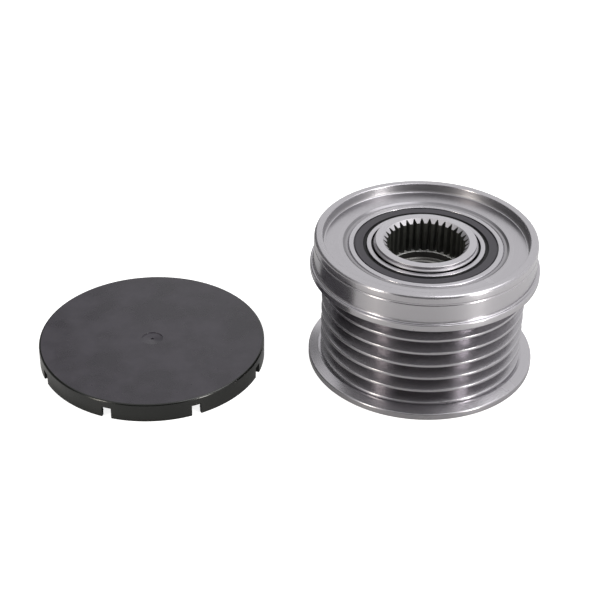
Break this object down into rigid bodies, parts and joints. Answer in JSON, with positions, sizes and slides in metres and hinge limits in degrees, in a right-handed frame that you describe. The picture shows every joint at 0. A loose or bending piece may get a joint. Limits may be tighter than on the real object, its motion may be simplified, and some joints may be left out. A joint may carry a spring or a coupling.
{
  "type": "alternator pulley",
  "caption": "Overrunning alternator pulley: a ribbed belt ring that turns on a splined, threaded hub through two ball bearings and a one-way roller clutch, with its push-fit dust cap beside it.",
  "frame": {"origin": "on the pulley's axis at its rear face, the mouth of the hub's shaft pilot bore, which is the plane it stands on", "axes": "+Z along the pulley's axis towards the spline end; +X away from the dust cap, which lies beside the pulley on the -X side"},
  "size_m": [0.1212, 0.0571, 0.0341],
  "materials": {
    "pulley_steel": "fine turned steel, satin",
    "hub_steel": "turned and broached steel",
    "bearing_steel": "ground bearing steel",
    "ball_steel": "polished bearing steel",
    "spring_steel": "rolled spring strip",
    "cage_plastic": "glass-filled nylon",
    "seal_rubber": "moulded nitrile rubber, satin",
    "cap_plastic": "moulded black nylon, satin"
  },
  "bodies": {
    "pulley": {"pulley_ring": "pulley_steel", "dust_cap": "cap_plastic", "clutch_race": "bearing_steel", "front_outer_race": "bearing_steel", "front_upper_seal": "seal_rubber", "front_lower_seal": "seal_rubber", "rear_outer_race": "bearing_steel", "rear_upper_seal": "seal_rubber", "rear_lower_seal": "seal_rubber"},
    "hub": {"hub": "hub_steel", "clutch_cam": "bearing_steel", "roller_cage": "cage_plastic", "roller_springs": "spring_steel", "front_inner_race": "bearing_steel", "rear_inner_race": "bearing_steel"},
    "front_ball_cage": {"front_ball_cage": "cage_plastic"},
    "front_ball_1": {"front_ball_1": "ball_steel"},
    "front_ball_2": {"front_ball_2": "ball_steel"},
    "front_ball_3": {"front_ball_3": "ball_steel"},
    "front_ball_4": {"front_ball_4": "ball_steel"},
    "front_ball_5": {"front_ball_5": "ball_steel"},
    "front_ball_6": {"front_ball_6": "ball_steel"},
    "front_ball_7": {"front_ball_7": "ball_steel"},
    "front_ball_8": {"front_ball_8": "ball_steel"},
    "front_ball_9": {"front_ball_9": "ball_steel"},
    "front_ball_10": {"front_ball_10": "ball_steel"},
    "front_ball_11": {"front_ball_11": "ball_steel"},
    "front_ball_12": {"front_ball_12": "ball_steel"},
    "front_ball_13": {"front_ball_13": "ball_steel"},
    "front_ball_14": {"front_ball_14": "ball_steel"},
    "front_ball_15": {"front_ball_15": "ball_steel"},
    "rear_ball_cage": {"rear_ball_cage": "cage_plastic"},
    "rear_ball_1": {"rear_ball_1": "ball_steel"},
    "rear_ball_2": {"rear_ball_2": "ball_steel"},
    "rear_ball_3": {"rear_ball_3": "ball_steel"},
    "rear_ball_4": {"rear_ball_4": "ball_steel"},
    "rear_ball_5": {"rear_ball_5": "ball_steel"},
    "rear_ball_6": {"rear_ball_6": "ball_steel"},
    "rear_ball_7": {"rear_ball_7": "ball_steel"},
    "rear_ball_8": {"rear_ball_8": "ball_steel"},
    "rear_ball_9": {"rear_ball_9": "ball_steel"},
    "rear_ball_10": {"rear_ball_10": "ball_steel"},
    "rear_ball_11": {"rear_ball_11": "ball_steel"},
    "rear_ball_12": {"rear_ball_12": "ball_steel"},
    "rear_ball_13": {"rear_ball_13": "ball_steel"},
    "rear_ball_14": {"rear_ball_14": "ball_steel"},
    "rear_ball_15": {"rear_ball_15": "ball_steel"},
    "roller_1": {"roller_1": "ball_steel"},
    "roller_2": {"roller_2": "ball_steel"},
    "roller_3": {"roller_3": "ball_steel"},
    "roller_4": {"roller_4": "ball_steel"},
    "roller_5": {"roller_5": "ball_steel"},
    "roller_6": {"roller_6": "ball_steel"},
    "roller_7": {"roller_7": "ball_steel"},
    "roller_8": {"roller_8": "ball_steel"}
  },
  "joints": [
    {"name": "hub_spin", "type": "hinge", "parent": "pulley", "child": "hub", "pos_m": [0, 0, 0.017], "axis": [0, 0, 1], "continuous": true},
    {"name": "front_cage_spin", "type": "hinge", "parent": "pulley", "child": "front_ball_cage", "pos_m": [0, 0, 0.0281], "axis": [0, 0, 1], "continuous": true},
    {"name": "front_ball_1_roll", "type": "hinge", "parent": "front_ball_cage", "child": "front_ball_1", "pos_m": [0.0155, 0, 0.0281], "axis": [0, 0, 1], "continuous": true},
    {"name": "front_ball_2_roll", "type": "hinge", "parent": "front_ball_cage", "child": "front_ball_2", "pos_m": [0.01416, 0.0063, 0.0281], "axis": [0, 0, 1], "continuous": true},
    {"name": "front_ball_3_roll", "type": "hinge", "parent": "front_ball_cage", "child": "front_ball_3", "pos_m": [0.01037, 0.01152, 0.0281], "axis": [0, 0, 1], "continuous": true},
    {"name": "front_ball_4_roll", "type": "hinge", "parent": "front_ball_cage", "child": "front_ball_4", "pos_m": [0.00479, 0.01474, 0.0281], "axis": [0, 0, 1], "continuous": true},
    {"name": "front_ball_5_roll", "type": "hinge", "parent": "front_ball_cage", "child": "front_ball_5", "pos_m": [-0.00162, 0.01542, 0.0281], "axis": [0, 0, 1], "continuous": true},
    {"name": "front_ball_6_roll", "type": "hinge", "parent": "front_ball_cage", "child": "front_ball_6", "pos_m": [-0.00775, 0.01342, 0.0281], "axis": [0, 0, 1], "continuous": true},
    {"name": "front_ball_7_roll", "type": "hinge", "parent": "front_ball_cage", "child": "front_ball_7", "pos_m": [-0.01254, 0.00911, 0.0281], "axis": [0, 0, 1], "continuous": true},
    {"name": "front_ball_8_roll", "type": "hinge", "parent": "front_ball_cage", "child": "front_ball_8", "pos_m": [-0.01516, 0.00322, 0.0281], "axis": [0, 0, 1], "continuous": true},
    {"name": "front_ball_9_roll", "type": "hinge", "parent": "front_ball_cage", "child": "front_ball_9", "pos_m": [-0.01516, -0.00322, 0.0281], "axis": [0, 0, 1], "continuous": true},
    {"name": "front_ball_10_roll", "type": "hinge", "parent": "front_ball_cage", "child": "front_ball_10", "pos_m": [-0.01254, -0.00911, 0.0281], "axis": [0, 0, 1], "continuous": true},
    {"name": "front_ball_11_roll", "type": "hinge", "parent": "front_ball_cage", "child": "front_ball_11", "pos_m": [-0.00775, -0.01342, 0.0281], "axis": [0, 0, 1], "continuous": true},
    {"name": "front_ball_12_roll", "type": "hinge", "parent": "front_ball_cage", "child": "front_ball_12", "pos_m": [-0.00162, -0.01542, 0.0281], "axis": [0, 0, 1], "continuous": true},
    {"name": "front_ball_13_roll", "type": "hinge", "parent": "front_ball_cage", "child": "front_ball_13", "pos_m": [0.00479, -0.01474, 0.0281], "axis": [0, 0, 1], "continuous": true},
    {"name": "front_ball_14_roll", "type": "hinge", "parent": "front_ball_cage", "child": "front_ball_14", "pos_m": [0.01037, -0.01152, 0.0281], "axis": [0, 0, 1], "continuous": true},
    {"name": "front_ball_15_roll", "type": "hinge", "parent": "front_ball_cage", "child": "front_ball_15", "pos_m": [0.01416, -0.0063, 0.0281], "axis": [0, 0, 1], "continuous": true},
    {"name": "rear_cage_spin", "type": "hinge", "parent": "pulley", "child": "rear_ball_cage", "pos_m": [0, 0, 0.0045], "axis": [0, 0, 1], "continuous": true},
    {"name": "rear_ball_1_roll", "type": "hinge", "parent": "rear_ball_cage", "child": "rear_ball_1", "pos_m": [0.0155, 0, 0.0045], "axis": [0, 0, 1], "continuous": true},
    {"name": "rear_ball_2_roll", "type": "hinge", "parent": "rear_ball_cage", "child": "rear_ball_2", "pos_m": [0.01416, 0.0063, 0.0045], "axis": [0, 0, 1], "continuous": true},
    {"name": "rear_ball_3_roll", "type": "hinge", "parent": "rear_ball_cage", "child": "rear_ball_3", "pos_m": [0.01037, 0.01152, 0.0045], "axis": [0, 0, 1], "continuous": true},
    {"name": "rear_ball_4_roll", "type": "hinge", "parent": "rear_ball_cage", "child": "rear_ball_4", "pos_m": [0.00479, 0.01474, 0.0045], "axis": [0, 0, 1], "continuous": true},
    {"name": "rear_ball_5_roll", "type": "hinge", "parent": "rear_ball_cage", "child": "rear_ball_5", "pos_m": [-0.00162, 0.01542, 0.0045], "axis": [0, 0, 1], "continuous": true},
    {"name": "rear_ball_6_roll", "type": "hinge", "parent": "rear_ball_cage", "child": "rear_ball_6", "pos_m": [-0.00775, 0.01342, 0.0045], "axis": [0, 0, 1], "continuous": true},
    {"name": "rear_ball_7_roll", "type": "hinge", "parent": "rear_ball_cage", "child": "rear_ball_7", "pos_m": [-0.01254, 0.00911, 0.0045], "axis": [0, 0, 1], "continuous": true},
    {"name": "rear_ball_8_roll", "type": "hinge", "parent": "rear_ball_cage", "child": "rear_ball_8", "pos_m": [-0.01516, 0.00322, 0.0045], "axis": [0, 0, 1], "continuous": true},
    {"name": "rear_ball_9_roll", "type": "hinge", "parent": "rear_ball_cage", "child": "rear_ball_9", "pos_m": [-0.01516, -0.00322, 0.0045], "axis": [0, 0, 1], "continuous": true},
    {"name": "rear_ball_10_roll", "type": "hinge", "parent": "rear_ball_cage", "child": "rear_ball_10", "pos_m": [-0.01254, -0.00911, 0.0045], "axis": [0, 0, 1], "continuous": true},
    {"name": "rear_ball_11_roll", "type": "hinge", "parent": "rear_ball_cage", "child": "rear_ball_11", "pos_m": [-0.00775, -0.01342, 0.0045], "axis": [0, 0, 1], "continuous": true},
    {"name": "rear_ball_12_roll", "type": "hinge", "parent": "rear_ball_cage", "child": "rear_ball_12", "pos_m": [-0.00162, -0.01542, 0.0045], "axis": [0, 0, 1], "continuous": true},
    {"name": "rear_ball_13_roll", "type": "hinge", "parent": "rear_ball_cage", "child": "rear_ball_13", "pos_m": [0.00479, -0.01474, 0.0045], "axis": [0, 0, 1], "continuous": true},
    {"name": "rear_ball_14_roll", "type": "hinge", "parent": "rear_ball_cage", "child": "rear_ball_14", "pos_m": [0.01037, -0.01152, 0.0045], "axis": [0, 0, 1], "continuous": true},
    {"name": "rear_ball_15_roll", "type": "hinge", "parent": "rear_ball_cage", "child": "rear_ball_15", "pos_m": [0.01416, -0.0063, 0.0045], "axis": [0, 0, 1], "continuous": true},
    {"name": "roller_1_shift", "type": "hinge", "parent": "hub", "child": "roller_1", "pos_m": [0, 0, 0.01616], "axis": [0, 0, 1], "range_deg": [-3, 0], "stiffness_Nm_per_rad": 0.01, "springref_deg": 17.19, "deforming": ["roller_springs"]},
    {"name": "roller_2_shift", "type": "hinge", "parent": "hub", "child": "roller_2", "pos_m": [0, 0, 0.01616], "axis": [0, 0, 1], "range_deg": [-3, 0]},
    {"name": "roller_3_shift", "type": "hinge", "parent": "hub", "child": "roller_3", "pos_m": [0, 0, 0.01616], "axis": [0, 0, 1], "range_deg": [-3, 0]},
    {"name": "roller_4_shift", "type": "hinge", "parent": "hub", "child": "roller_4", "pos_m": [0, 0, 0.01616], "axis": [0, 0, 1], "range_deg": [-3, 0]},
    {"name": "roller_5_shift", "type": "hinge", "parent": "hub", "child": "roller_5", "pos_m": [0, 0, 0.01616], "axis": [0, 0, 1], "range_deg": [-3, 0]},
    {"name": "roller_6_shift", "type": "hinge", "parent": "hub", "child": "roller_6", "pos_m": [0, 0, 0.01616], "axis": [0, 0, 1], "range_deg": [-3, 0]},
    {"name": "roller_7_shift", "type": "hinge", "parent": "hub", "child": "roller_7", "pos_m": [0, 0, 0.01616], "axis": [0, 0, 1], "range_deg": [-3, 0]},
    {"name": "roller_8_shift", "type": "hinge", "parent": "hub", "child": "roller_8", "pos_m": [0, 0, 0.01616], "axis": [0, 0, 1], "range_deg": [-3, 0]}
  ],
  "couplings": [
    {"joint": "front_cage_spin", "follows": "hub_spin", "ratio": 0.44355},
    {"joint": "front_ball_1_roll", "follows": "hub_spin", "ratio": -4.3721},
    {"joint": "front_ball_2_roll", "follows": "hub_spin", "ratio": -4.3721},
    {"joint": "front_ball_3_roll", "follows": "hub_spin", "ratio": -4.3721},
    {"joint": "front_ball_4_roll", "follows": "hub_spin", "ratio": -4.3721},
    {"joint": "front_ball_5_roll", "follows": "hub_spin", "ratio": -4.3721},
    {"joint": "front_ball_6_roll", "follows": "hub_spin", "ratio": -4.3721},
    {"joint": "front_ball_7_roll", "follows": "hub_spin", "ratio": -4.3721},
    {"joint": "front_ball_8_roll", "follows": "hub_spin", "ratio": -4.3721},
    {"joint": "front_ball_9_roll", "follows": "hub_spin", "ratio": -4.3721},
    {"joint": "front_ball_10_roll", "follows": "hub_spin", "ratio": -4.3721},
    {"joint": "front_ball_11_roll", "follows": "hub_spin", "ratio": -4.3721},
    {"joint": "front_ball_12_roll", "follows": "hub_spin", "ratio": -4.3721},
    {"joint": "front_ball_13_roll", "follows": "hub_spin", "ratio": -4.3721},
    {"joint": "front_ball_14_roll", "follows": "hub_spin", "ratio": -4.3721},
    {"joint": "front_ball_15_roll", "follows": "hub_spin", "ratio": -4.3721},
    {"joint": "rear_cage_spin", "follows": "hub_spin", "ratio": 0.44355},
    {"joint": "rear_ball_1_roll", "follows": "hub_spin", "ratio": -4.3721},
    {"joint": "rear_ball_2_roll", "follows": "hub_spin", "ratio": -4.3721},
    {"joint": "rear_ball_3_roll", "follows": "hub_spin", "ratio": -4.3721},
    {"joint": "rear_ball_4_roll", "follows": "hub_spin", "ratio": -4.3721},
    {"joint": "rear_ball_5_roll", "follows": "hub_spin", "ratio": -4.3721},
    {"joint": "rear_ball_6_roll", "follows": "hub_spin", "ratio": -4.3721},
    {"joint": "rear_ball_7_roll", "follows": "hub_spin", "ratio": -4.3721},
    {"joint": "rear_ball_8_roll", "follows": "hub_spin", "ratio": -4.3721},
    {"joint": "rear_ball_9_roll", "follows": "hub_spin", "ratio": -4.3721},
    {"joint": "rear_ball_10_roll", "follows": "hub_spin", "ratio": -4.3721},
    {"joint": "rear_ball_11_roll", "follows": "hub_spin", "ratio": -4.3721},
    {"joint": "rear_ball_12_roll", "follows": "hub_spin", "ratio": -4.3721},
    {"joint": "rear_ball_13_roll", "follows": "hub_spin", "ratio": -4.3721},
    {"joint": "rear_ball_14_roll", "follows": "hub_spin", "ratio": -4.3721},
    {"joint": "rear_ball_15_roll", "follows": "hub_spin", "ratio": -4.3721},
    {"joint": "roller_2_shift", "follows": "roller_1_shift", "ratio": 1},
    {"joint": "roller_3_shift", "follows": "roller_1_shift", "ratio": 1},
    {"joint": "roller_4_shift", "follows": "roller_1_shift", "ratio": 1},
    {"joint": "roller_5_shift", "follows": "roller_1_shift", "ratio": 1},
    {"joint": "roller_6_shift", "follows": "roller_1_shift", "ratio": 1},
    {"joint": "roller_7_shift", "follows": "roller_1_shift", "ratio": 1},
    {"joint": "roller_8_shift", "follows": "roller_1_shift", "ratio": 1}
  ]
}
